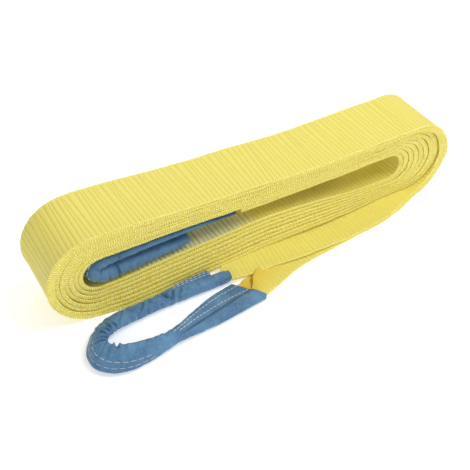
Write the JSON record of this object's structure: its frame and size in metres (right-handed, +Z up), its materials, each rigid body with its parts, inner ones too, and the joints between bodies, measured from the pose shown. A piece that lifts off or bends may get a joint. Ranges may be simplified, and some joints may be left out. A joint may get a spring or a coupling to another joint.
{
  "type": "flat webbing lifting sling",
  "caption": "Two-ply flat webbing lifting sling with a sleeved soft eye at each end, wound up flat with one eye free in front and the other lying in the hollow of the coil.",
  "frame": {"origin": "middle of the underside of the whole sling, on the surface that it lies on", "axes": "+X along the coil towards the end away from the free eye's tip, +Y across the webbing towards the back, away from the free eye, +Z up"},
  "size_m": [0.6028, 0.199, 0.1239],
  "materials": {
    "webbing": "woven polyester webbing, ribbed across",
    "seam_thread": "yellow polyester sewing thread",
    "sleeve": "thin woven wear sleeve",
    "sleeve_thread": "twisted polyester sewing thread",
    "label": "coated blank label fabric"
  },
  "bodies": {
    "coil": {"coil_outer_ply": "webbing", "coil_inner_ply": "webbing", "body_seam_near": "seam_thread", "body_seam_far": "seam_thread", "free_eye_base_stitching": "seam_thread", "inner_eye_base_stitching": "seam_thread", "inner_eye_webbing": "webbing", "inner_eye_sleeve": "sleeve", "inner_eye_seam_near": "sleeve_thread", "inner_eye_seam_far": "sleeve_thread", "label_hem": "label", "label_seam": "sleeve_thread"},
    "free_eye": {"free_eye_webbing": "webbing", "free_eye_sleeve": "sleeve", "free_eye_seam_upper": "sleeve_thread", "free_eye_seam_lower": "sleeve_thread", "free_eye_leg_seam_back": "sleeve_thread", "free_eye_leg_seam_front": "sleeve_thread"},
    "label": {"label_flap": "label"}
  },
  "joints": [
    {"name": "free_eye_lift", "type": "hinge", "parent": "coil", "child": "free_eye", "pos_m": [-0.0415, -0.04545, 0.0072], "axis": [0, 1, 0], "range_deg": [0, 80]},
    {"name": "label_lift", "type": "hinge", "parent": "coil", "child": "label", "pos_m": [0.0465, 0.07255, 0.07265], "axis": [0, 1, 0], "range_deg": [-16.5, 0]}
  ]
}
